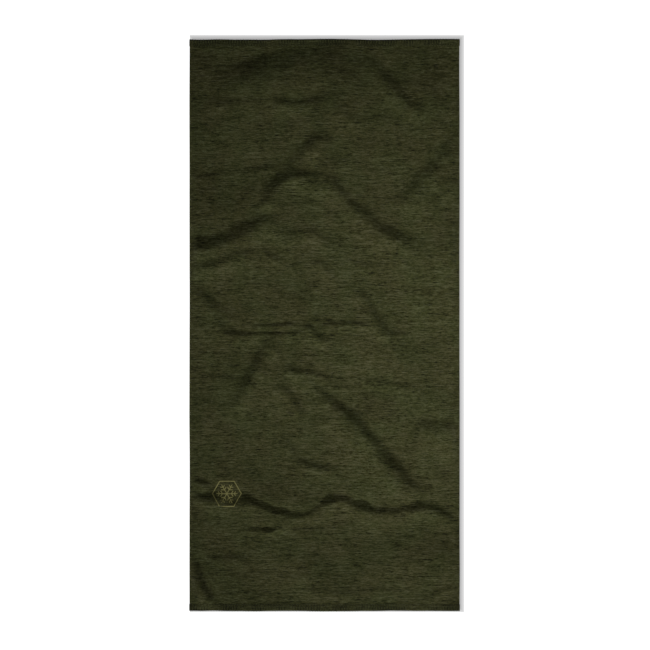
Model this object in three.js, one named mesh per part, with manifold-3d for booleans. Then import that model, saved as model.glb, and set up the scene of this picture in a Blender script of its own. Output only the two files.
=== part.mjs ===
// A tubular neck gaiter of fine wool jersey, lying flat on a table.
//
// One seamless knitted tube lies flattened: a back layer on the table, two soft side folds and a
// front layer that is a little crowned. Each mouth is closed off by a three-thread overlock: a
// needle thread, an upper looper that covers the outer face and wraps the cut edge, and a lower
// looper on the inner face. A transfer print sits on the front layer and a care label is caught in
// the lower overlock, inside the back layer.
//
// Millimetres, +Z up. The origin is the middle of the face that lies on the table. +Y runs along
// the tube towards its upper mouth, and +X towards the wearer's left side fold.
import * as THREE from "three";
import { mergeVertices } from "three/addons/utils/BufferGeometryUtils.js";
import Module from "manifold-3d";

// Driving dimensions of the tube.
const FLAT_WIDTH = 246; // across the side folds, outside
const FLAT_LENGTH = 522; // from mouth edge to mouth edge, over the overlock
const CLOTH = 0.8; // thickness of the jersey with its loft
const AIR_GAP = 6; // between the two layers, at the side folds
const CROWN = 1.2; // extra height of the front layer half way across

// Driving dimensions of the overlock.
const THREAD = 0.2; // thickness of the sewing thread
const SEAM_BITE = 6; // from the mouth edge to the needle line

// Driving dimensions of the print.
const PRINT_FILM = 0.15; // thickness of the transfer film
const PRINT_LINE = 0.9; // width of its lines
const PRINT_RADIUS = 13.5; // to the corners of the border
const PRINT_FROM_FOLD = 34.2; // from the outermost point of the left side fold to its middle
const PRINT_FROM_MOUTH = 108; // from the lower mouth edge to its middle
const FLAKE_RADIUS = 9.6; // to the tips of the snowflake's arms
const FLAKE_TWIGS = [
  { at: 4.3, reach: 2.6 },
  { at: 6.9, reach: 2 },
]; // where the pairs of side twigs leave an arm, and how long they are

// Driving dimensions of the care label.
const LABEL_WIDTH = 28;
const LABEL_LENGTH = 25; // from the mouth edge to its free end
const LABEL_PLY = 0.2; // thickness of the satin ribbon
const LABEL_CORNER = 1.5; // radius of its heat-cut corners
const LABEL_FROM_FOLD = 35; // from the outermost point of the right side fold to its middle

// Clearance between pieces that touch on the real thing.
const TOUCH = 0.05;

// How finely curved stretches are drawn.
const CURVE_STEPS = 8;
const CUT_PAST = 1; // how far a cutting solid runs past the one that it cuts

// Values that follow from the dimensions.
const FOLD_RADIUS = (AIR_GAP + CLOTH) / 2; // of the side folds, at the middle of the cloth
const FOLD_HEIGHT = FOLD_RADIUS + CLOTH / 2; // of the side folds' axis above the table
const HALF_FLAT = FLAT_WIDTH / 2 - FOLD_HEIGHT; // from the centre line to a side fold's axis
const OUTER_FACE = CLOTH / 2; // offsets are counted outwards from the middle of the cloth
const INNER_FACE = -CLOTH / 2;
const SKIRT_FACE = OUTER_FACE - THREAD; // the underside of the threads on the outer face
const PRESSED_FACE = SKIRT_FACE - TOUCH; // the cloth's outer face where the seam presses it
const MOUTH = FLAT_LENGTH / 2;
const NEEDLE_LINE = MOUTH - SEAM_BITE - TOUCH; // the mouth side of the needle thread
const PRESSED_FROM = NEEDLE_LINE - THREAD - TOUCH; // where the pressed stretch of cloth begins
const CUT_EDGE = MOUTH - THREAD - TOUCH; // the cloth's own cut edge, under the wrapped threads
const LABEL_FACE = INNER_FACE - TOUCH - LABEL_PLY;
const LOOPER_FACE = LABEL_FACE - TOUCH; // the lower looper clears the label's root

const COLOURS = {
  cloth: new THREE.Color("#33341f"),
  thread: new THREE.Color("#2b2d1b"),
  print: new THREE.Color("#6d6940"),
  label: new THREE.Color("#c9c8c0"),
};

const wasm = await Module();
wasm.setup();

function material(colour, roughness) {
  return new THREE.MeshStandardMaterial({
    color: colour,
    roughness,
    metalness: 0,
  });
}

const CLOTH_MATERIAL = material(COLOURS.cloth, 0.95);
const THREAD_MATERIAL = material(COLOURS.thread, 0.8);
const PRINT_MATERIAL = material(COLOURS.print, 0.6);
const LABEL_MATERIAL = material(COLOURS.label, 0.45);

// A closed geometry as a manifold-3d solid.
function toSolid(geometry) {
  const bare = new THREE.BufferGeometry();
  bare.setAttribute("position", geometry.getAttribute("position"));
  bare.setIndex(geometry.getIndex());
  const merged = mergeVertices(bare, 1e-4);
  return new wasm.Manifold(
    new wasm.Mesh({
      numProp: 3,
      vertProperties: new Float32Array(merged.getAttribute("position").array),
      triVerts: new Uint32Array(merged.getIndex().array),
    }),
  );
}

function toGeometry(solid) {
  const mesh = solid.getMesh();
  const geometry = new THREE.BufferGeometry();
  geometry.setAttribute(
    "position",
    new THREE.BufferAttribute(new Float32Array(mesh.vertProperties), 3),
  );
  geometry.setIndex(new THREE.BufferAttribute(new Uint32Array(mesh.triVerts), 1));
  const flat = geometry.toNonIndexed();
  flat.computeVertexNormals();
  return flat;
}

function joined(geometries) {
  return toGeometry(
    geometries.map(toSolid).reduce((whole, next) => whole.add(next)),
  );
}

function cutFrom(geometry, cuts) {
  return toGeometry(
    cuts.map(toSolid).reduce((left, cut) => left.subtract(cut), toSolid(geometry)),
  );
}

// How far the front layer's outline rises above its side folds, at x.
function crownAt(x) {
  return CROWN * (1 - (x / HALF_FLAT) ** 2);
}

// The outline of the flattened tube in section, offset outwards from the middle of the cloth.
// The drawing plane is XZ: the shape's y is height above the table.
function sectionOutline(path, offset) {
  const radius = FOLD_RADIUS + offset;
  path.moveTo(-HALF_FLAT, FOLD_HEIGHT - radius);
  path.lineTo(HALF_FLAT, FOLD_HEIGHT - radius);
  path.absarc(HALF_FLAT, FOLD_HEIGHT, radius, -Math.PI / 2, Math.PI / 2, false);
  path.quadraticCurveTo(
    0,
    FOLD_HEIGHT + radius + 2 * CROWN,
    -HALF_FLAT,
    FOLD_HEIGHT + radius,
  );
  path.absarc(
    -HALF_FLAT,
    FOLD_HEIGHT,
    radius,
    Math.PI / 2,
    (3 * Math.PI) / 2,
    false,
  );
  return path;
}

// A band that runs once round the tube, between two offsets and from y = near to y = far.
function band(inner, outer, near, far) {
  const shape = sectionOutline(new THREE.Shape(), outer);
  shape.holes.push(sectionOutline(new THREE.Path(), inner));
  const geometry = new THREE.ExtrudeGeometry(shape, {
    depth: far - near,
    bevelEnabled: false,
    curveSegments: CURVE_STEPS,
  });
  geometry.rotateX(Math.PI / 2); // the shape's y becomes z, and the extrusion runs along -y
  geometry.translate(0, far, 0);
  return geometry;
}

function named(name, geometry, surface) {
  const mesh = new THREE.Mesh(geometry, surface);
  mesh.name = name;
  return mesh;
}

// The seamless jersey tube, pressed thinner from outside where the overlock lies on it.
function knitTube() {
  const body = band(INNER_FACE, OUTER_FACE, -CUT_EDGE, CUT_EDGE);
  const pressed = [
    band(PRESSED_FACE, OUTER_FACE + CUT_PAST, PRESSED_FROM, MOUTH + CUT_PAST),
    band(PRESSED_FACE, OUTER_FACE + CUT_PAST, -MOUTH - CUT_PAST, -PRESSED_FROM),
  ];
  return named("knit_tube", cutFrom(body, pressed), CLOTH_MATERIAL);
}

// The straight line of needle stitches on the outer face.
function needleThread() {
  return band(SKIRT_FACE, OUTER_FACE, NEEDLE_LINE - THREAD, NEEDLE_LINE);
}

// The looper that covers the outer face from the needle line and wraps over the cut edge.
function upperLooper() {
  const inside = MOUTH - SEAM_BITE;
  const whole = band(INNER_FACE, OUTER_FACE, inside, MOUTH);
  const clothRoom = band(
    INNER_FACE - CUT_PAST,
    SKIRT_FACE,
    inside - CUT_PAST,
    MOUTH - THREAD,
  );
  return cutFrom(whole, [clothRoom]);
}

// The looper on the inner face.
function lowerLooper() {
  return band(LOOPER_FACE - THREAD, LOOPER_FACE, MOUTH - SEAM_BITE, MOUTH);
}

// The three threads of one mouth's overlock. The lower mouth's are mirrored copies.
function overlock(mouth, towards) {
  const group = new THREE.Group();
  const threads = {
    needle_thread: needleThread(),
    upper_looper_thread: upperLooper(),
    lower_looper_thread: lowerLooper(),
  };
  for (const [thread, geometry] of Object.entries(threads)) {
    group.add(named(`${mouth}_${thread}`, geometry, THREAD_MATERIAL));
  }
  group.scale.y = towards;
  return group;
}

// Lays a film that was drawn flat at z = 0 onto the front layer, round the print's middle.
function laidOnFront(geometry) {
  const middle = HALF_FLAT + FOLD_HEIGHT - PRINT_FROM_FOLD;
  const rest = FOLD_HEIGHT + FOLD_RADIUS + OUTER_FACE + TOUCH;
  const place = geometry.getAttribute("position");
  for (let i = 0; i < place.count; i++) {
    place.setZ(i, place.getZ(i) + rest + crownAt(place.getX(i) - middle));
  }
  geometry.computeVertexNormals();
  return geometry;
}

function hexagon(path, radius) {
  for (let corner = 0; corner < 6; corner++) {
    const turn = Math.PI / 2 + (corner * Math.PI) / 3;
    const x = radius * Math.cos(turn);
    const y = radius * Math.sin(turn);
    if (corner === 0) path.moveTo(x, y);
    else path.lineTo(x, y);
  }
  path.closePath();
  return path;
}

function printBorder() {
  const shape = hexagon(new THREE.Shape(), PRINT_RADIUS);
  const lineAtCorner = PRINT_LINE / Math.cos(Math.PI / 6);
  shape.holes.push(hexagon(new THREE.Path(), PRINT_RADIUS - lineAtCorner));
  return new THREE.ExtrudeGeometry(shape, {
    depth: PRINT_FILM,
    bevelEnabled: false,
  });
}

// A straight printed line that starts at (x, y) and runs at an angle.
function printedLine(x, y, length, turn) {
  const line = new THREE.BoxGeometry(length, PRINT_LINE, PRINT_FILM);
  line.translate(length / 2, 0, PRINT_FILM / 2);
  line.rotateZ(turn);
  line.translate(x, y, 0);
  return line;
}

// Six arms, each with its pairs of side twigs, joined in the middle.
function printSnowflake() {
  const lines = [];
  for (let arm = 0; arm < 6; arm++) {
    const turn = Math.PI / 2 + (arm * Math.PI) / 3;
    lines.push(printedLine(0, 0, FLAKE_RADIUS, turn));
    for (const { at, reach } of FLAKE_TWIGS) {
      const x = at * Math.cos(turn);
      const y = at * Math.sin(turn);
      lines.push(printedLine(x, y, reach, turn + Math.PI / 3));
      lines.push(printedLine(x, y, reach, turn - Math.PI / 3));
    }
  }
  return joined(lines);
}

// The transfer print on the front layer: a snowflake in a hexagonal border.
function frontPrint() {
  const group = new THREE.Group();
  group.add(named("print_border", laidOnFront(printBorder()), PRINT_MATERIAL));
  group.add(
    named("print_snowflake", laidOnFront(printSnowflake()), PRINT_MATERIAL),
  );
  group.position.x = PRINT_FROM_FOLD - FLAT_WIDTH / 2;
  group.position.y = PRINT_FROM_MOUTH - MOUTH;
  return group;
}

// The satin care label, which lies on the back layer's inner face with its root in the overlock.
function careLabel() {
  const right = LABEL_WIDTH / 2;
  const free = LABEL_LENGTH - (MOUTH - CUT_EDGE);
  const shape = new THREE.Shape();
  shape.moveTo(-right, 0);
  shape.lineTo(right, 0);
  shape.absarc(
    right - LABEL_CORNER,
    free - LABEL_CORNER,
    LABEL_CORNER,
    0,
    Math.PI / 2,
  );
  shape.absarc(
    LABEL_CORNER - right,
    free - LABEL_CORNER,
    LABEL_CORNER,
    Math.PI / 2,
    Math.PI,
  );
  shape.closePath();
  const geometry = new THREE.ExtrudeGeometry(shape, {
    depth: LABEL_PLY,
    bevelEnabled: false,
    curveSegments: CURVE_STEPS,
  });
  const label = named("care_label", geometry, LABEL_MATERIAL);
  label.position.set(
    FLAT_WIDTH / 2 - LABEL_FROM_FOLD,
    -CUT_EDGE,
    FOLD_HEIGHT - FOLD_RADIUS - LABEL_FACE - LABEL_PLY,
  );
  return label;
}

const gaiter = new THREE.Group();
gaiter.add(knitTube());
gaiter.add(overlock("upper_mouth", 1));
gaiter.add(overlock("lower_mouth", -1));
gaiter.add(frontPrint());
gaiter.add(careLabel());

export default gaiter;
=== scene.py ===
import math
from collections import namedtuple

import bmesh
import bpy
import numpy as np
from bpy.props import FloatProperty, FloatVectorProperty, PointerProperty
from mathutils import Matrix, Vector, noise


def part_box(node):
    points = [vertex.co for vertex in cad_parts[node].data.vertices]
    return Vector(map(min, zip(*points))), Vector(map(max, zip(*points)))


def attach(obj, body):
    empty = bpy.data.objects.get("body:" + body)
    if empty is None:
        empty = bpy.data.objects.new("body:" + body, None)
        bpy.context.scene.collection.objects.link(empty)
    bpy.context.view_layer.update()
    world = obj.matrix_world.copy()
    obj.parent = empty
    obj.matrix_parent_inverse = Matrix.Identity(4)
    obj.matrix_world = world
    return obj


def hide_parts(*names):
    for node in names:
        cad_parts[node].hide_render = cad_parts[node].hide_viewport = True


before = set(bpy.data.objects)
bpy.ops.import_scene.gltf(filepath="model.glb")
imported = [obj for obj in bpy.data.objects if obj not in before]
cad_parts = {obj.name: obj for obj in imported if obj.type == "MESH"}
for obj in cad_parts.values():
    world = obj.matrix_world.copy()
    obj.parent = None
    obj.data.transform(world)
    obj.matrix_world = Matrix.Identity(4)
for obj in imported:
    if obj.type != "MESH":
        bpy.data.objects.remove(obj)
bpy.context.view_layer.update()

bl_info = {
    "name": "Neck Gaiter",
    "version": (1, 0, 0),
    "blender": (4, 5, 0),
    "location": "3D Viewport > Sidebar > Gaiter",
    "description": "Makes a knitted neck gaiter that lies flat, with its overlock, print and care label",
    "category": "Object",
}

MM = 0.001
BODY = "root"

# Sizes and places that the frame settles. The tube is centred on the origin, and +Y is its upper mouth.
TUBE_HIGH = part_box("knit_tube")[1]
HALF_WIDTH = TUBE_HIGH.x  # from the middle to the outside of a side fold
CUT_EDGE = TUBE_HIGH.y  # from the middle to the cloth's own cut edge
NEEDLE_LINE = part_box("upper_mouth_needle_thread")[1].y
BORDER_LOW, BORDER_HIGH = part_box("print_border")
FLAKE_LOW, FLAKE_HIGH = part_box("print_snowflake")
LABEL_LOW, LABEL_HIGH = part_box("care_label")


# ---------------------------------------------------------------- sizes and colours


class TubeSizes(bpy.types.PropertyGroup):
    cloth: FloatProperty(
        name="Cloth", description="Thickness of the jersey with its loft",
        default=0.8 * MM, min=0.3 * MM, unit="LENGTH")
    fold_radius: FloatProperty(
        name="Fold radius", description="Radius of the side folds, at the middle of the cloth",
        default=2.6 * MM, min=1.0 * MM, unit="LENGTH")
    mouth_fold_radius: FloatProperty(
        name="Fold radius at the mouths", description="The seams press the side folds flatter",
        default=1.15 * MM, min=0.6 * MM, unit="LENGTH")
    sag: FloatProperty(
        name="Sag", description="How far the front layer sinks between its side folds",
        default=1.6 * MM, min=0.0, unit="LENGTH")
    swell: FloatProperty(
        name="Swell", description="Height of the broad, slow waves of the front layer",
        default=4.9 * MM, min=0.0, unit="LENGTH")
    rumple: FloatProperty(
        name="Rumple", description="Height of the small waves of the front layer",
        default=0.6 * MM, min=0.0, unit="LENGTH")
    fold_share: FloatProperty(
        name="Fold height", description="Share of each crease's own height that is used",
        default=1.08, min=0.0, max=2.0, subtype="FACTOR")
    edge_wave: FloatProperty(
        name="Edge wave", description="How far the mouths stray from a straight line",
        default=0.8 * MM, min=0.0, unit="LENGTH")
    drawn_in: FloatProperty(
        name="Drawn in", description="How far the creases draw each mouth in",
        default=1.0 * MM, min=0.0, unit="LENGTH")


class YarnColours(bpy.types.PropertyGroup):
    dark: FloatVectorProperty(
        name="Dark yarn", description="The darkest stretches of the marled yarn",
        default=(0.0014, 0.0018, 0.0003), size=3, min=0.0, max=1.0, subtype="COLOR")
    middle: FloatVectorProperty(
        name="Middle yarn", description="The colour half way from the dark to the light yarn",
        default=(0.028, 0.0292, 0.0090), size=3, min=0.0, max=1.0, subtype="COLOR")
    light: FloatVectorProperty(
        name="Light yarn", description="The lightest stretches of the marled yarn",
        default=(0.060, 0.061, 0.030), size=3, min=0.0, max=1.0, subtype="COLOR")
    streak: FloatProperty(
        name="Streak length", description="How far the yarn runs before its colour changes",
        default=5.0 * MM, min=1.0 * MM, unit="LENGTH")
    wale: FloatProperty(
        name="Wale", description="Width of one column of loops",
        default=0.9 * MM, min=0.3 * MM, unit="LENGTH")
    course: FloatProperty(
        name="Course", description="Height of one row of loops",
        default=0.5 * MM, min=0.3 * MM, unit="LENGTH")


class SeamSizes(bpy.types.PropertyGroup):
    thread: FloatProperty(
        name="Thread", description="Diameter of the sewing thread",
        default=0.26 * MM, min=0.1 * MM, unit="LENGTH")
    pitch: FloatProperty(
        name="Stitch", description="Length of one overlock stitch",
        default=2.4 * MM, min=1.0 * MM, unit="LENGTH")
    colour: FloatVectorProperty(
        name="Thread colour", description="Colour of the sewing thread",
        default=(0.030, 0.032, 0.012), size=3, min=0.0, max=1.0, subtype="COLOR")


class PrintSizes(bpy.types.PropertyGroup):
    film: FloatProperty(
        name="Film", description="Thickness of the transfer film",
        default=0.1 * MM, min=0.02 * MM, unit="LENGTH")
    line: FloatProperty(
        name="Line", description="Width of the printed lines",
        default=0.75 * MM, min=0.3 * MM, unit="LENGTH")
    colour: FloatVectorProperty(
        name="Print colour", description="Colour of the transfer film",
        default=(0.135, 0.125, 0.036), size=3, min=0.0, max=1.0, subtype="COLOR")


class LabelSizes(bpy.types.PropertyGroup):
    ply: FloatProperty(
        name="Ribbon", description="Thickness of the satin ribbon",
        default=0.2 * MM, min=0.05 * MM, unit="LENGTH")
    curl: FloatProperty(
        name="Curl", description="How far the free end lifts off the cloth",
        default=0.6 * MM, min=0.0, unit="LENGTH")
    colour: FloatVectorProperty(
        name="Ribbon colour", description="Colour of the satin ribbon",
        default=(0.58, 0.57, 0.53), size=3, min=0.0, max=1.0, subtype="COLOR")


class StageSizes(bpy.types.PropertyGroup):
    lens: FloatProperty(
        name="Lens", description="Focal length of the camera in millimetres",
        default=85.0, min=20.0)
    seen_width: FloatProperty(
        name="Seen width", description="Width of the table that the picture takes in",
        default=592 * MM, min=100 * MM, unit="LENGTH")
    # Painted light: the table's own emission, weakest in the strip beside the tube, which is painted
    # shadow.
    painted_glow: FloatProperty(
        name="Table glow", description="Light that comes up through the table beside the tube",
        default=0.40, min=0.0)
    # The strip of shade is painted shadow: the table emits less there.
    shade: FloatProperty(
        name="Shade", description="Half the width of the strip of shade on the right of the tube",
        default=2.1 * MM, min=0.0, unit="LENGTH")
    low_power: FloatProperty(
        name="Low lamp", description="Power of the low lamp beyond the lower mouth, in watts",
        default=206.0, min=0.0)
    high_power: FloatProperty(
        name="High lamp", description="Power of the lamp above the tube, in watts",
        default=112.0, min=0.0)
    floor: FloatVectorProperty(
        name="Table colour", description="Colour of the table",
        default=(0.08, 0.08, 0.08), size=3, min=0.0, max=1.0, subtype="COLOR")


# ---------------------------------------------------------------- how the cloth lies

# A crease in the front layer, in millimetres from the middle of the tube. The cloth stands up along the
# path, falls away over its steep side, on the path's left, and sinks slowly on its gentle side.
Crease = namedtuple("Crease", "height steep gentle path")

CREASES = [
    # The two arms of the large chevron in the upper half, and the peak over it.
    Crease(4.3, 14, 24, [
        (-138, 74), (-118, 74), (-102, 75), (-87, 80), (-68, 90), (-50, 98), (-36, 102)]),
    Crease(3.8, 10, 22, [(-59, 98), (-55, 111), (-49, 124), (-38, 133), (-26, 137), (-6, 139)]),
    Crease(3.7, 11, 26, [
        (-9, 148), (1, 138), (13, 127), (28, 111), (44, 96), (56, 86), (76, 77), (90, 72)]),
    Crease(3.4, 14, 17, [(-46, 136), (-28, 151), (-15, 163), (0, 180)]),
    Crease(2.2, 15, 14, [(-14, 174), (-4, 162), (6, 151), (16, 137)]),
    Crease(1.0, 6, 30, [(-136, 133), (-110, 136), (-88, 139), (-62, 142), (-34, 147)]),
    Crease(3.8, 13, 56, [(56, 106), (76, 122), (90, 137), (103, 150), (115, 165), (132, 188)]),
    # Small creases inside the chevron.
    Crease(2.5, 8, 16, [(-138, 47), (-110, 54), (-93, 59), (-74, 66), (-56, 69)]),
    Crease(1.7, 12, 14, [(-47, 72), (-32, 83), (-14, 87), (2, 78), (18, 66)]),
    Crease(1.4, 6, 10, [(-58, 76), (-51, 64), (-37, 57)]),
    Crease(1.6, 6, 10, [(-5, 62), (2, 52), (14, 41)]),
    Crease(1.4, 8, 11, [(12, 61), (28, 58), (48, 51)]),
    Crease(1.0, 8, 14, [(5, 108), (14, 93), (34, 82)]),
    Crease(0.8, 7, 14, [(50, 69), (75, 56), (87, 45)]),
    Crease(2.3, 7, 14, [(28, 40), (40, 20), (50, 4), (60, -12)]),
    Crease(0.9, 7, 10, [(-26, 22), (-18, 30), (-8, 41)]),
    # The rows of low creases across the middle.
    Crease(1.5, 4, 13, [(-68, -1), (-46, 0), (-24, 1)]),
    Crease(1.6, 4, 13, [(-100, -6), (-76, -8), (-48, -8), (-14, -7)]),
    Crease(2.0, 5, 11, [(-20, 0), (-9, -6), (4, -16)]),
    Crease(1.2, 3.5, 11, [(-6, -1), (16, 1), (46, 1)]),
    Crease(0.8, 4, 10, [(44, -6), (58, -8), (76, -7)]),
    Crease(1.6, 7, 13, [(-132, 46), (-117, 35), (-102, 17), (-90, -2), (-80, -9)]),
    Crease(0.9, 6, 10, [(-107, 29), (-92, 14), (-76, 3)]),
    Crease(4.0, 10, 20, [(-86, -80), (-75, -59), (-67, -44), (-60, -29), (-52, -16), (-42, -6)]),
    Crease(1.0, 8, 12, [(-26, 6), (-15, 28)]),
    # Below the middle, and the long crease that runs down to the right.
    Crease(1.5, 6, 13, [(-44, -38), (-26, -41), (-5, -44), (10, -52), (36, -63)]),
    Crease(1.1, 5, 14, [(24, -48), (53, -51), (90, -56)]),
    Crease(2.4, 7, 12, [(-41, -51), (-31, -62), (-23, -75), (-18, -88)]),
    Crease(1.4, 7, 11, [(-18, -46), (-5, -58), (6, -71)]),
    Crease(4.0, 10, 28, [
        (-10, -52), (5, -64), (19, -78), (34, -93), (47, -108), (62, -126), (77, -141), (95, -160)]),
    Crease(2.0, 7, 14, [(-38, -99), (-31, -110), (-24, -121), (-10, -127), (12, -131)]),
    Crease(0.9, 9, 16, [(74, -104), (99, -126), (118, -146)]),
    Crease(3.4, 15, 40, [(80, -88), (98, -92), (114, -93), (132, -92)]),
    # The strong crease right across, above the lower mouth.
    Crease(2.4, 5, 22, [(-80, -153), (-66, -160), (-53, -165), (-40, -169), (-24, -171)]),
    Crease(1.5, 4, 18, [(-38, -172), (-22, -172), (-9, -168), (4, -161), (14, -159)]),
    Crease(2.7, 6, 18, [(-7, -161), (6, -159), (20, -159), (33, -164), (46, -169)]),
    Crease(2.2, 6, 20, [(20, -162), (38, -168), (56, -169), (80, -166), (94, -167)]),
    Crease(2.6, 7, 18, [(72, -163), (92, -165), (104, -169), (128, -180)]),
    Crease(3.2, 7, 12, [(-136, -134), (-120, -139), (-102, -146)]),
    Crease(3.0, 10, 14, [(-134, -152), (-120, -153), (-108, -155), (-90, -157)]),
    Crease(1.2, 6, 12, [(-98, -158), (-82, -161), (-64, -158)]),
    Crease(1.2, 3.5, 10, [(-74, -183), (-60, -184), (-46, -184)]),
    Crease(1.7, 3.5, 9, [(-58, -185), (-47, -184.5), (-41, -181), (-38, -173)]),
    Crease(0.8, 5, 12, [(-35, -184), (-14, -185), (8, -184)]),
    Crease(0.8, 4, 13, [(-107, -212), (-88, -211), (-68, -212)]),
    Crease(5.4, 6.5, 16, [(-121, -208), (-116, -221), (-110, -236), (-100, -258)]),
    # The edge of the seam, which stands up a little along the lower mouth.
    Crease(0.4, 4, 12, [(-116, -240), (-92, -244), (-66, -242), (-44, -244)]),
    Crease(0.6, 4, 12, [(-26, -243), (-4, -240), (14, -243), (38, -244)]),
    Crease(0.5, 4, 12, [(30, -242), (52, -239), (80, -244)]),
    Crease(1.3, 6, 12, [(84, -250), (100, -243), (126, -231)]),
    # Near the upper mouth.
    Crease(2.1, 10, 16, [(32, 250), (46, 238), (54, 228), (65, 214), (80, 199), (94, 188)]),
    Crease(1.7, 9, 14, [(-52, 204), (-23, 203), (6, 207)]),
    Crease(1.3, 10, 16, [(-1, 237), (8, 212), (18, 194), (40, 182)]),
    Crease(5.0, 24, 48, [(-104, 223), (-78, 231), (-54, 237), (-30, 242), (0, 247), (34, 251)]),
    Crease(3.0, 40, 60, [(-112, 205), (-56, 214), (0, 218), (48, 212)]),
    Crease(0.6, 7, 14, [(-112, 205), (-84, 203), (-58, 206)]),
]

FADE_SHARE = 0.22  # the part of a crease's length over which it dies away, at each end
UNEVEN_SHARE = 0.25  # how much of its height comes and goes along it
UNEVEN_LENGTH = 12.0  # how far one such change runs, in millimetres
TROUGH_SHARE = 0.16  # the hollow at the foot of its steep side, as a share of its height
TROUGH_PLACE = 1.4  # how far that hollow lies from the path, in halves of the steep side

# Waves in the cloth: the width and length of one, and the seed that sets them apart from the others.
Waves = namedtuple("Waves", "across along seed")

SWELL = Waves(46 * MM, 56 * MM, 7.7)
RUMPLE = Waves(26 * MM, 14 * MM, 1.3)
FINE_RUMPLE = Waves(11 * MM, 6.5 * MM, 5.9)
PUCKER = Waves(8 * MM, 40 * MM, 2.2)
BACK_SWELL = Waves(50 * MM, 38 * MM, 9.2)
# Waves that bend the creases sideways, wide ones and fine ones, across the tube and along it.
BEND_ACROSS, FINE_BEND_ACROSS = Waves(21 * MM, 17 * MM, 4.1), Waves(7 * MM, 5 * MM, 8.3)
BEND_ALONG, FINE_BEND_ALONG = Waves(19 * MM, 15 * MM, 6.6), Waves(6 * MM, 5 * MM, 0.7)
# Waves of the side folds and the mouths, which run one way.
FOLD_WAVES = Waves(0.1, 35 * MM, 3.1)
SIDE_WAVES = Waves(0.1, 60 * MM, 6.4)
MOUTH_WAVES, FINE_MOUTH_WAVES = Waves(62 * MM, 0.1, 2.6), Waves(17 * MM, 0.1, 4.4)
LABEL_WAVES = Waves(9 * MM, 9 * MM, 5.2)

BEND, FINE_BEND = 1.8 * MM, 0.7 * MM  # how far those waves bend a crease
PUCKER_HEIGHT = 0.25 * MM
BACK_LIFT = 0.3 * MM  # how far the back layer's waves lift it off the table, on average
SEAM_LIFT = 0.42 * MM  # the height of the threads that lie under the cloth at a mouth
PRESSED_UPPER, PRESSED_LOWER = 70 * MM, 45 * MM  # how far from a mouth its seam presses the tube flat


def smooth_step(low, high, x):
    t = np.clip((x - low) / (high - low), 0.0, 1.0)
    return t * t * (3.0 - 2.0 * t)


def ripple(x, y, across, along, seed):
    """Smooth noise from -1 to 1, whose waves are about that wide and that long."""
    places = zip(np.ravel(x / across), np.ravel(y / along))
    return np.array([noise.noise((px, py, seed)) for px, py in places]).reshape(np.shape(x))


def leaning_ripple(x, y, across, along, seed):
    """A ripple whose waves lean, so that they fall more steeply on the side of the upper mouth."""
    lean = 0.3 * along * ripple(x, y, across, along, seed)
    return ripple(x, y - lean, across, along, seed)


def smooth_path(points, step):
    """The points of a smooth curve through the given ones, about a step apart."""
    given = np.array(points, float)
    ends = np.vstack([2 * given[0] - given[1], given, 2 * given[-1] - given[-2]])
    path = []
    for a, b, c, d in zip(ends, ends[1:], ends[2:], ends[3:]):
        for t in np.arange(0, 1, step / max(step, np.linalg.norm(c - b))):
            path.append(0.5 * (2 * b + (c - a) * t + (2 * a - 5 * b + 4 * c - d) * t**2
                               + (3 * b - a - 3 * c + d) * t**3))
    path.append(given[-1])
    return np.array(path)


def crease_lift(crease, seed, x, y):
    """How far one crease lifts the cloth at each x and y."""
    lift = np.zeros(len(x))
    path = smooth_path(crease.path, step=1.0) * MM
    steep, gentle = crease.steep * MM, crease.gentle * MM
    reach = steep + gentle
    low, high = path.min(0) - reach, path.max(0) + reach
    near = (x > low[0]) & (x < high[0]) & (y > low[1]) & (y < high[1])
    if not near.any():
        return lift
    places = np.stack([x[near], y[near]], axis=1)
    apart = places[:, None, :] - path[None, :, :]
    nearest = (apart**2).sum(2).argmin(1)
    ahead = np.gradient(path, axis=0)
    ahead /= np.linalg.norm(ahead, axis=1)[:, None]
    along, away = ahead[nearest], places - path[nearest]
    left = along[:, 0] * away[:, 1] - along[:, 1] * away[:, 0]
    share = nearest / (len(path) - 1)
    fading = smooth_step(0, FADE_SHARE, share) * smooth_step(0, FADE_SHARE, 1 - share)
    uneven = 1 + UNEVEN_SHARE * ripple(share * len(path), share, UNEVEN_LENGTH, 1.0, seed)
    half = steep / 2
    fall = 1 - smooth_step(-half, half, left)
    rise = smooth_step(-half - gentle, -half, left) ** 1.5
    trough = TROUGH_SHARE * np.exp(-(((left - TROUGH_PLACE * half) / half) ** 2))
    lift[near] = crease.height * MM * fading * uneven * (fall * rise - trough)
    return lift


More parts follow.
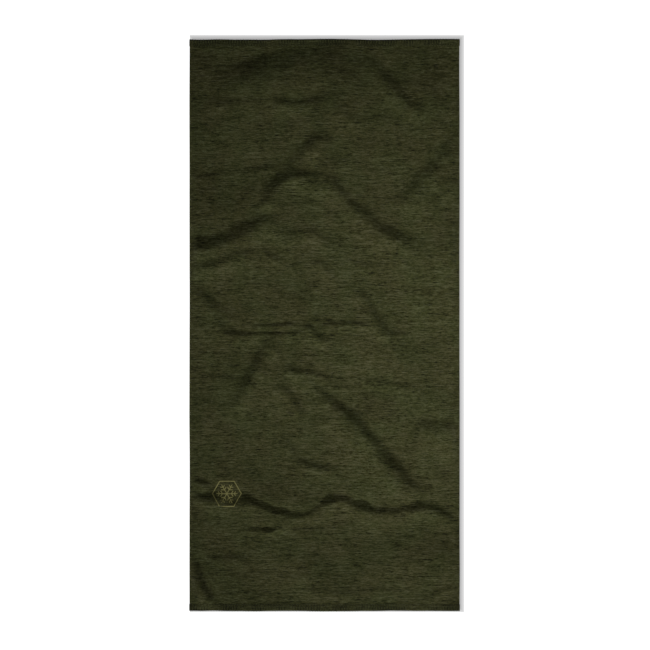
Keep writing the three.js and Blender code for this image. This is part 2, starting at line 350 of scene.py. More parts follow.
class LooseTube:
    """The middle of the cloth as the tube lies.

    u runs once round the tube from the middle of its front, and v runs along it."""

    def __init__(self, sizes):
        self.sizes = sizes
        self.half_cloth = sizes.cloth / 2
        self.half_flat = HALF_WIDTH - self.half_cloth - sizes.fold_radius
        self.quarter = math.pi * sizes.fold_radius
        self.round = 4 * self.half_flat + 2 * self.quarter

    def repeats(self, size):
        """How many repeats of about that size go once round the tube."""
        return round(self.round / size)

    def near_mouth(self, v, reach):
        """0 well inside the tube and 1 at a mouth."""
        return smooth_step(CUT_EDGE - reach, CUT_EDGE, np.abs(v))

    def pressed(self, v):
        """How far the tube is pressed flat: from 0 well inside it to 1 at a mouth."""
        return self.near_mouth(v, np.where(v > 0, PRESSED_UPPER, PRESSED_LOWER))

    def fold_radius(self, side, v):
        free, held = self.sizes.fold_radius, self.sizes.mouth_fold_radius
        radius = free + (held - free) * self.pressed(v)
        return radius * (1 + 0.12 * ripple(side * 0.2, v, *FOLD_WAVES))

    def relief(self, x, y, inset):
        """How far the front layer stands above the tops of its side folds."""
        held = smooth_step(0, 5 * MM, inset)
        calm = 1 - 0.6 * self.pressed(y)
        sag = self.sizes.sag * calm * smooth_step(0, 42 * MM, inset)
        swell = self.sizes.swell * leaning_ripple(x, y, *SWELL)
        rumple = self.sizes.rumple * (
            leaning_ripple(x, y, *RUMPLE) + 0.25 * leaning_ripple(x, y, *FINE_RUMPLE))
        pucker = PUCKER_HEIGHT * ripple(x, y, *PUCKER) * self.near_mouth(y, reach=22 * MM)
        across = x + BEND * ripple(x, y, *BEND_ACROSS) + FINE_BEND * ripple(x, y, *FINE_BEND_ACROSS)
        along = y + BEND * ripple(x, y, *BEND_ALONG) + FINE_BEND * ripple(x, y, *FINE_BEND_ALONG)
        creases = np.zeros(len(x))
        for number, crease in enumerate(CREASES):
            creases += crease_lift(crease, number + 0.5, across, along)
        return held * (swell * calm + rumple + pucker + self.sizes.fold_share * creases) - sag

    def at(self, u, v):
        """The middle of the cloth at each u and v, as rows of x, y and z."""
        half, quarter = self.half_flat, self.quarter
        u = (u + self.round / 2) % self.round - self.round / 2
        side, far = np.where(u < 0, -1.0, 1.0), np.abs(u)
        radius = self.fold_radius(side, v)
        axis = HALF_WIDTH - self.half_cloth - radius + self.side_wave(side, v)
        front, back = far < half, far > half + quarter
        turn = np.clip((far - half) / self.sizes.fold_radius, 0, math.pi)
        x = side * (axis + radius * np.sin(turn))
        z = self.half_cloth + radius * (1 + np.cos(turn)) + SEAM_LIFT * self.near_mouth(v, reach=14 * MM)
        x = np.where(front, side * axis * far / half, x)
        x = np.where(back, side * axis * (2 * half + quarter - far) / half, x)
        y = v + self.mouth_wave(x, v)
        if front.any():
            inset = (1 - far[front] / half) * half
            z[front] += self.relief(x[front], y[front], inset)
            # The front layer comes to rest on the back layer, and not with a hard edge.
            low = self.sizes.cloth * (2.5 - 0.6 * self.pressed(v[front]))
            soft = 0.3 * MM
            z[front] = low + soft * np.logaddexp(0, (z[front] - low) / soft)
        if back.any():
            inset = far[back] - half - quarter
            lift = BACK_LIFT * (1 + ripple(x[back], y[back], *BACK_SWELL))
            z[back] += lift * smooth_step(0, 20 * MM, inset)
        return np.stack([x, y, z], axis=1)

    def side_wave(self, side, v):
        """How far a side fold strays outwards."""
        return (0.35 * ripple(side * 0.3, v, *SIDE_WAVES) - 0.2) * MM

    def mouth_wave(self, x, v):
        """How far a mouth strays along the tube."""
        towards = np.sign(v)
        wave = ripple(x, towards * 0.3, *MOUTH_WAVES) + 0.35 * ripple(x, towards, *FINE_MOUTH_WAVES)
        inward = -towards * self.sizes.drawn_in
        return (self.sizes.edge_wave * wave + inward) * self.near_mouth(v, reach=60 * MM)

    def on(self, u, v, out):
        """A place at that distance outwards from the middle of the cloth."""
        step = 0.4 * MM
        here = self.at(u, v)
        round_way = self.at(u + step, v) - self.at(u - step, v)
        along = self.at(u, v + step) - self.at(u, v - step)
        normal = np.cross(round_way, along)
        normal /= np.linalg.norm(normal, axis=1)[:, None]
        return here + normal * np.reshape(out, (-1, 1))

    def knit_place(self, u, v):
        """The place on the tube when it is round: a pattern that follows it has no seam."""
        turn = 2 * math.pi * u / self.round
        radius = self.round / (2 * math.pi)
        return np.stack([radius * np.sin(turn), radius * np.cos(turn), v], axis=1)


# ---------------------------------------------------------------- shader wiring


class Wiring:
    """Adds shader nodes to one tree and wires them."""

    def __init__(self, tree):
        self.tree = tree
        self.column = 0

    def add(self, kind, inputs=None, **settings):
        made = self.tree.nodes.new(kind)
        made.location = (220 * self.column, 0)
        self.column += 1
        for name, value in settings.items():
            setattr(made, name, value)
        for name, value in (inputs or {}).items():
            self.feed(made.inputs[name], value)
        return made

    def feed(self, socket, value):
        if isinstance(value, bpy.types.NodeSocket):
            self.tree.links.new(value, socket)
        else:
            socket.default_value = value

    def math(self, operation, *values, clamp=False):
        made = self.add("ShaderNodeMath", operation=operation, use_clamp=clamp)
        for socket, value in zip(made.inputs, values):
            self.feed(socket, value)
        return made.outputs["Value"]

    def ramp(self, value, low, high):
        """0 below low, 1 above high, and smooth in between."""
        made = self.add("ShaderNodeMapRange", {"Value": value, "From Min": low, "From Max": high},
                        interpolation_type="SMOOTHSTEP")
        return made.outputs["Result"]

    def mix(self, factor, first, second, blend="MIX"):
        made = self.add("ShaderNodeMix", data_type="RGBA", blend_type=blend)
        self.feed(made.inputs["Factor"], factor)
        self.feed(made.inputs[6], first)
        self.feed(made.inputs[7], second)
        return made.outputs[2]

    def noise(self, vector, scale, detail=2.0, roughness=0.5):
        made = self.add("ShaderNodeTexNoise", {
            "Vector": vector, "Scale": scale, "Detail": detail, "Roughness": roughness})
        return made.outputs["Fac"]

    def surface(self, shader, colour, roughness, relief, distance, strength):
        """Gives the shader its colour, its roughness and a relief as a bump."""
        bump = self.add("ShaderNodeBump", {"Height": relief, "Distance": distance, "Strength": strength})
        self.feed(shader.inputs["Base Color"], colour)
        self.feed(shader.inputs["Roughness"], roughness)
        self.feed(shader.inputs["Normal"], bump.outputs["Normal"])

    def split(self, vector):
        return self.add("ShaderNodeSeparateXYZ", {"Vector": vector}).outputs

    def join(self, x, y, z):
        return self.add("ShaderNodeCombineXYZ", {"X": x, "Y": y, "Z": z}).outputs["Vector"]


def new_group(name, inputs, outputs):
    """A shader node group with named sockets, its wiring, and the sockets of its input node."""
    tree = bpy.data.node_groups.new(name, "ShaderNodeTree")
    for direction, sockets in (("INPUT", inputs), ("OUTPUT", outputs)):
        for label, kind, default in sockets:
            socket = tree.interface.new_socket(label, in_out=direction, socket_type="NodeSocket" + kind)
            if default is not None:
                socket.default_value = default
    wires = Wiring(tree)
    given = wires.add("NodeGroupInput").outputs
    return tree, wires, given


def marled_yarn_group():
    """The colour of a yarn that was spun from darker and lighter fibres, course by course."""
    tree, wires, given = new_group(
        "Marled yarn",
        [("Knit Place", "Vector", None), ("Dark", "Color", None), ("Middle", "Color", None),
         ("Light", "Color", None), ("Streak Length", "Float", 5 * MM), ("Course", "Float", 0.5 * MM),
         ("Contrast", "Float", 1.0)],
        [("Color", "Color", None), ("Lightness", "Float", None)])
    x, y, z = wires.split(given["Knit Place"])
    row = wires.math("FLOOR", wires.math("DIVIDE", z, given["Course"]))
    shift = wires.math("MULTIPLY", row, 7.37)  # far enough that no course's streaks match the next one's
    length = given["Streak Length"]
    place = wires.join(wires.math("DIVIDE", x, length), wires.math("DIVIDE", y, length), shift)
    streak = wires.noise(place, 1.0, detail=3.0, roughness=0.7)
    twisted = wires.noise(place, 0.23, detail=1.0)
    cloudy = wires.noise(given["Knit Place"], 55.0, detail=3.0, roughness=0.6)
    value = 0.5
    for pattern, weight in ((streak, 2.4), (twisted, 0.85), (cloudy, 0.35)):
        value = wires.math("MULTIPLY_ADD", wires.math("SUBTRACT", pattern, 0.5), weight, value)
    value = wires.math(
        "MULTIPLY_ADD", wires.math("SUBTRACT", value, 0.5), given["Contrast"], 0.5, clamp=True)
    lower = wires.mix(wires.math("MULTIPLY", value, 2.0, clamp=True), given["Dark"], given["Middle"])
    upper = wires.math("MULTIPLY_ADD", value, 2.0, -1.0, clamp=True)
    colour = wires.mix(upper, lower, given["Light"])
    wires.add("NodeGroupOutput", {"Color": colour, "Lightness": value})
    return tree


def jersey_loops_group():
    """The relief of plain jersey: each wale is a column of V-shaped loops."""
    tree, wires, given = new_group(
        "Jersey loops",
        [("Knit Place", "Vector", None), ("Wales", "Float", 550.0), ("Course", "Float", 0.5 * MM)],
        [("Height", "Float", None), ("Gap", "Float", None)])
    x, y, z = wires.split(given["Knit Place"])
    turn = wires.math("DIVIDE", wires.math("ARCTAN2", x, y), 2 * math.pi)
    wale = wires.math("FRACT", wires.math("MULTIPLY", wires.math("ADD", turn, 1.0), given["Wales"]))
    across = wires.math("ABSOLUTE", wires.math("MULTIPLY_ADD", wale, 2.0, -1.0))
    climb = wires.math("MULTIPLY_ADD", across, 0.8, wires.math("DIVIDE", z, given["Course"]))
    strand = wires.math("SINE", wires.math("MULTIPLY", wires.math("FRACT", climb), math.pi))
    leg = wires.math("SINE", wires.math("MULTIPLY", across, math.pi))
    height = wires.math(
        "MULTIPLY", wires.math("POWER", strand, 0.7), wires.math("MULTIPLY_ADD", leg, 0.6, 0.4))
    # Gap marks the low ground between the loops, which the materials darken as painted shade.
    gap = wires.math("SUBTRACT", 1.0, wires.ramp(height, 0.05, 0.5))
    wires.add("NodeGroupOutput", {"Height": height, "Gap": gap})
    return tree


def seam_pull_group():
    """The ridges that the overlock's stitches pull up near each mouth, and the painted shade in the hollows
    between them.
    """
    tree, wires, given = new_group(
        "Seam pull",
        [("Knit Place", "Vector", None), ("Stitches", "Float", 200.0), ("Needle Line", "Float", 0.25)],
        [("Height", "Float", None), ("Shade", "Float", None)])
    x, y, z = wires.split(given["Knit Place"])
    wander = wires.noise(given["Knit Place"], 260.0)
    turn = wires.math("DIVIDE", wires.math("ARCTAN2", x, y), 2 * math.pi)
    count = wires.math("MULTIPLY_ADD", wander, 1.4, wires.math("MULTIPLY", turn, given["Stitches"]))
    wave = wires.math("SINE", wires.math("MULTIPLY", count, 2 * math.pi))
    ridge = wires.math("MULTIPLY_ADD", wave, 0.5, 0.5)
    beyond = wires.math("SUBTRACT", wires.math("ABSOLUTE", z), given["Needle Line"])
    held = wires.ramp(beyond, -1.6 * MM, 0.6 * MM)
    uneven = wires.ramp(wires.noise(given["Knit Place"], 70.0, detail=1.0), 0.38, 0.6)
    gap = wires.math("MULTIPLY", wires.math("SUBTRACT", 1.0, ridge), uneven)
    wires.add("NodeGroupOutput", {
        "Height": wires.math("MULTIPLY", ridge, held), "Shade": wires.math("MULTIPLY", gap, held)})
    return tree


def fuzz_group():
    """Short loose fibres: a fine, tangled relief."""
    tree, wires, given = new_group(
        "Fibre fuzz",
        [("Vector", "Vector", None), ("Fibre", "Float", 0.4 * MM)],
        [("Height", "Float", None)])
    scale = wires.math("DIVIDE", 1.0, given["Fibre"])
    tangle = wires.noise(given["Vector"], scale, detail=3.0, roughness=0.7)
    wires.add("NodeGroupOutput", {"Height": tangle})
    return tree


def place_group(wires, name, make, inputs):
    """Places a shared group, which is made the first time."""
    tree = bpy.data.node_groups.get(name) or make()
    return wires.add("ShaderNodeGroup", inputs, node_tree=tree).outputs


def new_material(name, constants):
    """A material with a Principled BSDF whose constant values are set on its own sockets."""
    made = bpy.data.materials.new(name)
    made.use_nodes = True
    wires = Wiring(made.node_tree)
    shader = made.node_tree.nodes["Principled BSDF"]
    for label, value in constants.items():
        shader.inputs[label].default_value = value
    return made, wires, shader


def rgba(colour, share=1.0):
    """A colour with its alpha, made darker or lighter by a share."""
    return (*(part * share for part in colour), 1.0)


def knit_pattern(wires, scene):
    """The place on the knit, and the loops at that place."""
    yarn = scene.gaiter_yarn
    place = wires.add("ShaderNodeAttribute", attribute_name="knit").outputs["Vector"]
    wales = LooseTube(scene.gaiter_tube).repeats(yarn.wale)
    loops = place_group(wires, "Jersey loops", jersey_loops_group, {
        "Knit Place": place, "Wales": float(wales), "Course": yarn.course})
    return place, loops


def jersey_material(scene):
    yarn = scene.gaiter_yarn
    made, wires, shader = new_material("Marled wool jersey", {
        "Specular IOR Level": 0.06, "Sheen Weight": 0.05, "Sheen Roughness": 0.5,
        "Sheen Tint": (0.75, 0.78, 0.40, 1.0)})
    place, loops = knit_pattern(wires, scene)
    yarns = place_group(wires, "Marled yarn", marled_yarn_group, {
        "Knit Place": place, "Dark": rgba(yarn.dark), "Middle": rgba(yarn.middle),
        "Light": rgba(yarn.light), "Streak Length": yarn.streak, "Course": yarn.course, "Contrast": 1.0})
    fuzz = place_group(wires, "Fibre fuzz", fuzz_group, {"Vector": place, "Fibre": 0.45 * MM})
    earthy = wires.noise(place, 38.0, detail=3.0)
    tint = wires.mix(wires.ramp(earthy, 0.35, 0.65), (0.97, 1.02, 0.97, 1.0), (1.035, 0.99, 1.0, 1.0))
    colour = wires.mix(1.0, yarns["Color"], tint, blend="MULTIPLY")
    stitches = LooseTube(scene.gaiter_tube).repeats(scene.gaiter_seam.pitch)
    pull = place_group(wires, "Seam pull", seam_pull_group, {
        "Knit Place": place, "Stitches": float(stitches), "Needle Line": NEEDLE_LINE})
    # Painted shade: the low ground between the loops and the hollows between the seam's ridges are darkened
    # towards a near-black olive.
    gap_shade = wires.math("MULTIPLY", loops["Gap"], 0.45)
    painted_shade = wires.math("MULTIPLY_ADD", pull["Shade"], 0.8, gap_shade, clamp=True)
    shaded = wires.mix(painted_shade, colour, (0.004, 0.0045, 0.002, 1.0))
    roughness = wires.math("MULTIPLY_ADD", yarns["Lightness"], -0.08, 0.96)
    relief = wires.math("MULTIPLY_ADD", fuzz["Height"], 0.5, loops["Height"])
    relief = wires.math("MULTIPLY_ADD", pull["Height"], 2.2, relief)
    wires.surface(shader, shaded, roughness, relief, distance=0.12 * MM, strength=0.6)
    return made


def thread_material(scene):
    made, wires, shader = new_material("Overlock thread", {"Specular IOR Level": 0.1})
    place = wires.add("ShaderNodeTexCoord").outputs["Object"]
    fuzz = place_group(wires, "Fibre fuzz", fuzz_group, {"Vector": place, "Fibre": 0.15 * MM})
    plain = scene.gaiter_seam.colour
    colour = wires.mix(fuzz["Height"], rgba(plain), rgba(plain, 1.4))
    roughness = wires.math("MULTIPLY_ADD", fuzz["Height"], 0.3, 0.55)
    wires.surface(shader, colour, roughness, fuzz["Height"], distance=0.03 * MM, strength=0.6)
    return made


def print_material(scene):
    made, wires, shader = new_material("Transfer print", {"Specular IOR Level": 0.25})
    place, loops = knit_pattern(wires, scene)
    worn = wires.noise(place, 900.0, detail=3.0, roughness=0.6)
    plain = scene.gaiter_print.colour
    film = wires.mix(worn, rgba(plain, 0.8), rgba(plain, 1.2))
    # Painted shade: in the gaps between the loops the film is darkened to the dark yarn's colour.
    gap_shade = wires.math("MULTIPLY", loops["Gap"], 0.5)
    colour = wires.mix(gap_shade, film, rgba(scene.gaiter_yarn.dark))
    roughness = wires.math("MULTIPLY_ADD", worn, 0.3, 0.5)
    wires.surface(shader, colour, roughness, loops["Height"], distance=0.08 * MM, strength=0.5)
    return made


def label_material(scene):
    made, wires, shader = new_material("Label satin", {
        "Specular IOR Level": 0.5, "Sheen Weight": 0.1})
    place = wires.add("ShaderNodeTexCoord").outputs["Object"]
    x, y, _ = wires.split(place)
    weft_pitch, warp_pitch = 0.3 * MM, 0.2 * MM
    weft = wires.math("SINE", wires.math("MULTIPLY", y, 2 * math.pi / weft_pitch))
    warp = wires.math("SINE", wires.math("MULTIPLY", x, 2 * math.pi / warp_pitch))
    weave = wires.math("MULTIPLY_ADD", weft, 0.3, warp)
    slub = wires.noise(place, 1500.0)
    plain = scene.gaiter_label.colour
    colour = wires.mix(slub, rgba(plain, 0.88), rgba(plain))
    roughness = wires.math("MULTIPLY_ADD", slub, 0.25, 0.3)
    wires.surface(shader, colour, roughness, weave, distance=0.02 * MM, strength=0.5)
    return made


# ---------------------------------------------------------------- pieces


ROWS = 420  # rows of points along the tube
FRONT_COLUMNS, FOLD_COLUMNS, BACK_COLUMNS = 46, 8, 8  # columns of points over half of the way round
MERGED = 0.01 * MM  # points closer than this are one point


def linked_object(name, mesh, material):
    """An object at the origin for a finished mesh, smooth shaded."""
    mesh.materials.append(material)
    mesh.shade_smooth()
    made = bpy.data.objects.new(name, mesh)
    bpy.context.scene.collection.objects.link(made)
    return made


def new_piece(name, bm, material):
    mesh = bpy.data.meshes.new(name)
    bm.to_mesh(mesh)
    bm.free()
    return linked_object(name, mesh, material)


def thicken(piece, label, thickness, offset=0.0, even=False):
    """Gives a sheet its thickness: half on each side of it, or all on its outer side if offset is 1."""
    wall = piece.modifiers.new(label, "SOLIDIFY")
    wall.thickness = thickness
    wall.offset = offset
    wall.use_even_offset = even


def stands_for(piece, node):
    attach(piece, BODY)
    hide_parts(node)


def spaced_columns(tube):
    """Where the columns of the tube's mesh run, round the tube: close on the front, wide on the back."""
    half, quarter = tube.half_flat, tube.quarter
    back = np.linspace(half + quarter, tube.round / 2, BACK_COLUMNS)
    fold = np.linspace(half, half + quarter, FOLD_COLUMNS)
    front = np.linspace(0, half, FRONT_COLUMNS)
    right = np.concatenate([front, fold[1:], back[1:]])
    return np.concatenate([-right[:0:-1], right])


def lay_out(bm, places, patterns):
    """Moves each point to its place, and notes the place on the knit that its pattern follows."""
    knit = bm.verts.layers.float_vector.new("knit")
    for vert, place, pattern in zip(bm.verts, places, patterns):
        vert.co = place
        vert[knit] = Vector(pattern)


def make_knit_tube(scene):
    """The seamless tube: a grid wrapped once round the flat section, then given its thickness."""
    tube = LooseTube(scene.gaiter_tube)
    columns = spaced_columns(tube)
    rows = np.linspace(-CUT_EDGE, CUT_EDGE, ROWS)
    bm = bmesh.new()
    bmesh.ops.create_grid(bm, x_segments=len(columns) - 1, y_segments=len(rows) - 1, size=1.0)
    share = np.array([((v.co.x + 1) / 2, (v.co.y + 1) / 2) for v in bm.verts])
    u = columns[np.rint(share[:, 0] * (len(columns) - 1)).astype(int)]
    v = rows[np.rint(share[:, 1] * (len(rows) - 1)).astype(int)]
    lay_out(bm, tube.at(u, v), tube.knit_place(u, v))
    meeting = [vert for vert, far in zip(bm.verts, np.abs(u)) if far > tube.round / 2 - MERGED]
    bmesh.ops.remove_doubles(bm, verts=meeting, dist=MERGED)
    bmesh.ops.recalc_face_normals(bm, faces=bm.faces)
    piece = new_piece("knit_tube_cloth", bm, jersey_material(scene))
    thicken(piece, "Cloth thickness", scene.gaiter_tube.cloth, even=True)
    stands_for(piece, "knit_tube")


def sewn_thread(name, points, radius, material):
    """A closed run of thread through the points, as a mesh."""
    curve = bpy.data.curves.new(name, "CURVE")
    curve.dimensions = "3D"
    curve.bevel_depth = radius
    curve.bevel_resolution = 1
    curve.resolution_u = 2
    spline = curve.splines.new("NURBS")
    spline.points.add(len(points) - 1)
    for point, place in zip(spline.points, points):
        point.co = (*place, 1.0)
    spline.use_cyclic_u = True
    spline.order_u = 3
    run = bpy.data.objects.new(name, curve)
    mesh = bpy.data.meshes.new_from_object(run)
    bpy.data.objects.remove(run)
    bpy.data.curves.remove(curve)
    mesh.name = name
    mesh.materials.clear()
    return linked_object(name, mesh, material)


# One stitch of each thread: (share of the stitch's length, share of the way from the needle line to
# the cut edge, place across the cloth, where 1 lies on the outer face and -1 on the inner face).
STITCHES = {
    "needle_thread": [(0.0, 0.0, -0.6), (0.12, 0.0, 1.0), (0.5, 0.0, 1.15), (0.88, 0.0, 1.0)],
    "upper_looper_thread": [
        (0.0, -0.02, 1.3), (0.2, 0.3, 1.1), (0.36, 0.72, 1.1), (0.44, 1.0, 1.0), (0.5, 1.05, -0.2),
        (0.56, 1.0, 1.0), (0.64, 0.72, 1.1), (0.8, 0.3, 1.1)],
    "lower_looper_thread": [
        (0.0, 0.0, -1.2), (0.2, 0.35, -1.1), (0.38, 0.8, -1.1), (0.5, 1.02, -0.9), (0.62, 0.8, -1.1),
        (0.8, 0.35, -1.1)],
}


def make_overlock(scene):
    """The three threads of the overlock at each mouth, stitch by stitch round the tube."""
    tube, seam = LooseTube(scene.gaiter_tube), scene.gaiter_seam
    material = thread_material(scene)
    stitches = tube.repeats(seam.pitch)
    bite = CUT_EDGE - NEEDLE_LINE
    face = tube.half_cloth + seam.thread / 2
    for mouth, towards in (("upper_mouth", 1), ("lower_mouth", -1)):
        for thread, stitch in STITCHES.items():
            count, over, out = np.array([
                (n + share, over, out) for n in range(stitches) for share, over, out in stitch]).T
            uneven = ripple(count, over, across=1.7, along=0.7, seed=8.8 + towards)
            u = (count + 0.08 * uneven) * tube.round / stitches
            v = towards * (NEEDLE_LINE + bite * over * (1 + 0.05 * uneven))
            points = tube.on(u, v, face * out)
            piece = sewn_thread(f"{mouth}_{thread}_stitches", points, seam.thread / 2, material)
            stands_for(piece, f"{mouth}_{thread}")


def laid_on_front(scene, name, bm, middle, out, material):
    """Drapes a flat film onto the front layer, round a middle, with its own thickness."""
    tube = LooseTube(scene.gaiter_tube)
    x = np.array([vert.co.x for vert in bm.verts]) + middle.x
    y = np.array([vert.co.y for vert in bm.verts]) + middle.y
    lay_out(bm, tube.on(x, y, np.full(len(x), out)), tube.knit_place(x, y))
    bmesh.ops.recalc_face_normals(bm, faces=bm.faces)
    if sum(face.normal.z for face in bm.faces) < 0:
        bmesh.ops.reverse_faces(bm, faces=bm.faces)
    piece = new_piece(name, bm, material)
    thicken(piece, "Film thickness", scene.gaiter_print.film, offset=1.0)
    return piece


def hexagon_edges(bm, radius):
    """A ring of six edges with a corner at the top."""
    corners = bmesh.ops.create_circle(bm, segments=6, radius=radius)["verts"]
    bmesh.ops.rotate(bm, verts=corners, matrix=Matrix.Rotation(math.pi / 6, 3, "Z"))
    return [edge for edge in bm.edges if edge.verts[0] in corners]


def border_shape(line, radius):
    bm = bmesh.new()
    outer = hexagon_edges(bm, radius)
    inner = hexagon_edges(bm, radius - line / math.cos(math.pi / 6))
    bmesh.ops.bridge_loops(bm, edges=outer + inner)
    bmesh.ops.subdivide_edges(bm, edges=bm.edges, cuts=11, use_grid_fill=True)
    return bm


def drawn_out(bm, edge, direction, length):
    """Extrudes an edge sideways and gives the new far edge and the two new side edges."""
    made = bmesh.ops.extrude_edge_only(bm, edges=[edge])["geom"]
    new_verts = [g for g in made if isinstance(g, bmesh.types.BMVert)]
    bmesh.ops.translate(bm, verts=new_verts, vec=direction * length)
    far = next(e for e in new_verts[0].link_edges if e.other_vert(new_verts[0]) in new_verts)
    sides = [e for vert in new_verts for e in vert.link_edges if e is not far]
    return far, sides


def snowflake_shape(line, radius):
    """Six arms drawn out of a small hexagon, each with two pairs of side twigs."""
    twigs = ((0.45 * radius, 0.27 * radius), (0.72 * radius, 0.21 * radius))
    root = line / math.sin(math.pi / 3) / 2  # half the stretch of an arm that a twig leaves from
    bm = bmesh.new()
    bmesh.ops.create_circle(bm, cap_ends=True, segments=6, radius=line)
    for edge in list(bm.edges):
        middle = (edge.verts[0].co + edge.verts[1].co) / 2
        out = middle.normalized()
        reached = middle.length
        front = edge
        for at, reach in twigs:
            front, _ = drawn_out(bm, front, out, at - root - reached)
            front, sides = drawn_out(bm, front, out, 2 * root)
            reached = at + root
            for side in sides:
                aside = (side.verts[0].co + side.verts[1].co) / 2
                turn = math.pi / 3 if out.cross(aside).z > 0 else -math.pi / 3
                drawn_out(bm, side, Matrix.Rotation(turn, 3, "Z") @ out, reach)
        drawn_out(bm, front, out, radius - reached)
    bmesh.ops.subdivide_edges(bm, edges=bm.edges, cuts=3, use_grid_fill=True)
    bmesh.ops.triangulate(bm, faces=[face for face in bm.faces if len(face.verts) > 4])
    return bm


def make_front_print(scene):
    """The transfer print: a six-armed snowflake in a six-sided border."""
    line = scene.gaiter_print.line
    out = scene.gaiter_tube.cloth / 2 + 0.02 * MM
    middle = (BORDER_LOW + BORDER_HIGH) / 2
    material = print_material(scene)
    border = border_shape(line, (BORDER_HIGH.y - BORDER_LOW.y) / 2)
    flake = snowflake_shape(line, (FLAKE_HIGH.y - FLAKE_LOW.y) / 2)
    for node, shape in (("print_border", border), ("print_snowflake", flake)):
        piece = laid_on_front(scene, node + "_film", shape, middle, out, material)
        stands_for(piece, node)


def make_care_label(scene):
    """The satin ribbon inside the lower mouth: its root is caught in the seam, and its free end curls."""
    tube, sizes = LooseTube(scene.gaiter_tube), scene.gaiter_label
    bm = bmesh.new()
    bmesh.ops.create_grid(bm, x_segments=28, y_segments=25, size=1.0)
    corners = [v for v in bm.verts if len(v.link_edges) == 2 and v.co.y > 0]
    bmesh.ops.bevel(bm, geom=corners, offset=0.08, offset_type="OFFSET", segments=3, profile=0.5,
                    affect="VERTICES", material=-1)
    middle, half = (LABEL_LOW + LABEL_HIGH) / 2, (LABEL_HIGH - LABEL_LOW) / 2
    x = np.array([vert.co.x for vert in bm.verts]) * half.x + middle.x
    free = (np.array([vert.co.y for vert in bm.verts]) + 1) / 2
    y = LABEL_LOW.y + free * 2 * half.y
    u = 2 * tube.half_flat + tube.quarter - x
    seat = scene.gaiter_tube.cloth / 2 + sizes.ply / 2 + 0.05 * MM
    lifted = seat + sizes.curl * free**2.5 * (1 + 0.4 * ripple(x, y, *LABEL_WAVES))
    for vert, place in zip(bm.verts, tube.on(u, y, -lifted)):
        vert.co = place
    bmesh.ops.recalc_face_normals(bm, faces=bm.faces)
    piece = new_piece("care_label_ribbon", bm, label_material(scene))
    thicken(piece, "Ribbon thickness", sizes.ply)
    stands_for(piece, "care_label")


# ---------------------------------------------------------------- stage


def soft_spot(name, reach, turn, rise, aim, radius, cone, power):
    """A wide lamp whose light fades towards the edge of its cone.

    It stands at that reach from the middle of the table, turned clockwise from the lower mouth's side."""
    flat = reach * math.cos(rise)
    place = (-flat * math.sin(turn), -flat * math.cos(turn), reach * math.sin(rise))
    data = bpy.data.lights.new(name, "SPOT")
    data.shadow_soft_size = radius
    data.spot_size = cone
    data.spot_blend = 1.0
    data.energy = power
    made = bpy.data.objects.new(name, data)
    made.location = place
    made.rotation_euler = (Vector(aim) - Vector(place)).to_track_quat("-Z", "Y").to_euler()
    bpy.context.scene.collection.objects.link(made)


def make_stage(scene):
    """The table, painted white by its own emission with a strip of painted shadow, the lights and the
    camera that looks straight down.
    """
    sizes = scene.gaiter_stage
    bm = bmesh.new()
    bmesh.ops.create_grid(bm, x_segments=2, y_segments=2, size=8.0)
    made, wires, shader = new_material("Table with painted light and shadow", {"Roughness": 0.7, "Specular IOR Level": 0.2})
    place = wires.add("ShaderNodeTexCoord").outputs["Object"]
    grain = wires.noise(place, 40.0)
    wires.feed(shader.inputs["Base Color"], wires.mix(grain, rgba(sizes.floor, 0.985), rgba(sizes.floor)))
    x, y, _ = wires.split(place)
    # The table's emission paints a narrow strip of shadow on the tube's right and beyond its upper mouth,
    # and paints the rest white.
    beside = wires.math("ABSOLUTE", wires.math("SUBTRACT", x, sizes.shade))
    beyond = wires.math("ABSOLUTE", wires.math("SUBTRACT", y, 0.6 * sizes.shade))
    away = wires.math(
        "MAXIMUM", wires.math("SUBTRACT", beside, HALF_WIDTH), wires.math("SUBTRACT", beyond, CUT_EDGE))
    strip = wires.math("MULTIPLY_ADD", wires.ramp(away, -sizes.shade, sizes.shade), 0.24, sizes.painted_glow)
    clear = wires.ramp(away, sizes.shade - 0.3 * MM, sizes.shade + 0.5 * MM)
    painted_glow = wires.math("MULTIPLY_ADD", clear, 0.9, strip)
    wires.feed(shader.inputs["Emission Color"], wires.join(painted_glow, painted_glow, painted_glow))
    shader.inputs["Emission Strength"].default_value = 1.0
    table = new_piece("table_with_painted_light", bm, made)

    soft_spot("low_lamp", reach=1.8, turn=math.radians(3), rise=math.radians(25), aim=(0.115, 0.56, 0),
              radius=0.15, cone=math.radians(34), power=sizes.low_power)
    soft_spot("high_lamp", reach=1.6, turn=0.0, rise=math.radians(78), aim=(0.12, 0.0, 0),
              radius=0.22, cone=math.radians(18), power=sizes.high_power)

    world = bpy.data.worlds.new("White studio")
    world.use_nodes = True
    sky = world.node_tree.nodes["Background"].inputs
    sky["Color"].default_value = (1, 1, 1, 1)
    sky["Strength"].default_value = 0.2
    scene.world = world
    scene.view_settings.view_transform = "Standard"

    camera = bpy.data.cameras.new("overhead_camera")
    camera.lens = sizes.lens
    camera.sensor_width = 36.0
    camera.clip_start, camera.clip_end = 0.05, 20.0
    eye = bpy.data.objects.new("overhead_camera", camera)
    aside = 0.46 * MM  # the tube lies that far left of the middle of the view
    eye.location = (aside, 0.0, sizes.seen_width * camera.lens / camera.sensor_width)
    scene.collection.objects.link(eye)
    scene.camera = eye


# ---------------------------------------------------------------- operators and panel


class GAITER_OT_stage(bpy.types.Operator):
    """Set the table with its painted light and shadow, the soft lights and the camera"""
    bl_idname = "gaiter.stage"
    bl_label = "Set the stage"

    def execute(self, context):
        make_stage(context.scene)
        return {"FINISHED"}


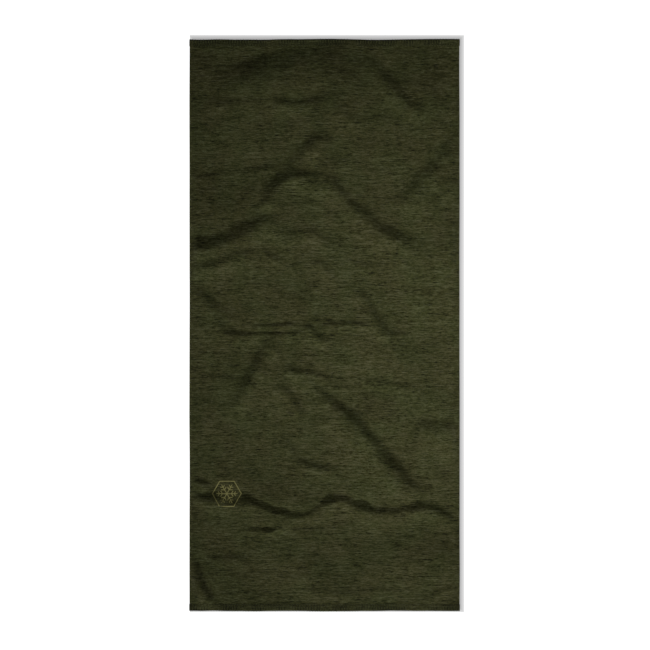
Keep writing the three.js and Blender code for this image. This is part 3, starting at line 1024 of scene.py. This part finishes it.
class GAITER_OT_knit_tube(bpy.types.Operator):
    """Knit the seamless tube as it lies, with its creases"""
    bl_idname = "gaiter.knit_tube"
    bl_label = "Knit the tube"

    def execute(self, context):
        make_knit_tube(context.scene)
        return {"FINISHED"}


class GAITER_OT_overlock(bpy.types.Operator):
    """Sew the three threads of the overlock round each mouth"""
    bl_idname = "gaiter.overlock"
    bl_label = "Sew the mouths"

    def execute(self, context):
        make_overlock(context.scene)
        return {"FINISHED"}


class GAITER_OT_front_print(bpy.types.Operator):
    """Press the snowflake print onto the front layer"""
    bl_idname = "gaiter.front_print"
    bl_label = "Press the print"

    def execute(self, context):
        make_front_print(context.scene)
        return {"FINISHED"}


class GAITER_OT_care_label(bpy.types.Operator):
    """Put the satin label inside the lower mouth"""
    bl_idname = "gaiter.care_label"
    bl_label = "Add the care label"

    def execute(self, context):
        make_care_label(context.scene)
        return {"FINISHED"}


class GAITER_OT_declare_cloth(bpy.types.Operator):
    """A step that does nothing"""
    bl_idname = "gaiter.declare_cloth"
    bl_label = "Declare the cloth"

    def execute(self, context):
        return {"FINISHED"}


STEPS = (
    GAITER_OT_stage,
    GAITER_OT_knit_tube,
    GAITER_OT_overlock,
    GAITER_OT_front_print,
    GAITER_OT_care_label,
    GAITER_OT_declare_cloth,
)

SETTINGS = {
    "gaiter_tube": TubeSizes,
    "gaiter_yarn": YarnColours,
    "gaiter_seam": SeamSizes,
    "gaiter_print": PrintSizes,
    "gaiter_label": LabelSizes,
    "gaiter_stage": StageSizes,
}


class GAITER_PT_panel(bpy.types.Panel):
    """The gaiter's sizes and colours, and the steps that make it"""
    bl_label = "Neck Gaiter"
    bl_idname = "GAITER_PT_panel"
    bl_space_type = "VIEW_3D"
    bl_region_type = "UI"
    bl_category = "Gaiter"

    def draw(self, context):
        for name in SETTINGS:
            settings = getattr(context.scene, name)
            box = self.layout.box()
            for label in settings.__annotations__:
                box.prop(settings, label)
        for step in STEPS:
            self.layout.operator(step.bl_idname)


def register():
    for kind in (*SETTINGS.values(), *STEPS, GAITER_PT_panel):
        bpy.utils.register_class(kind)
    for name, kind in SETTINGS.items():
        setattr(bpy.types.Scene, name, PointerProperty(type=kind))


def unregister():
    for name in SETTINGS:
        delattr(bpy.types.Scene, name)
    for kind in reversed((*SETTINGS.values(), *STEPS, GAITER_PT_panel)):
        bpy.utils.unregister_class(kind)


def run_step(step):
    area, name = step.bl_idname.split(".")
    if getattr(getattr(bpy.ops, area), name)() != {"FINISHED"}:
        raise RuntimeError(step.bl_label + " didn't finish")


def main():
    register()
    for step in STEPS:
        run_step(step)


if __name__ == "__main__":
    main()
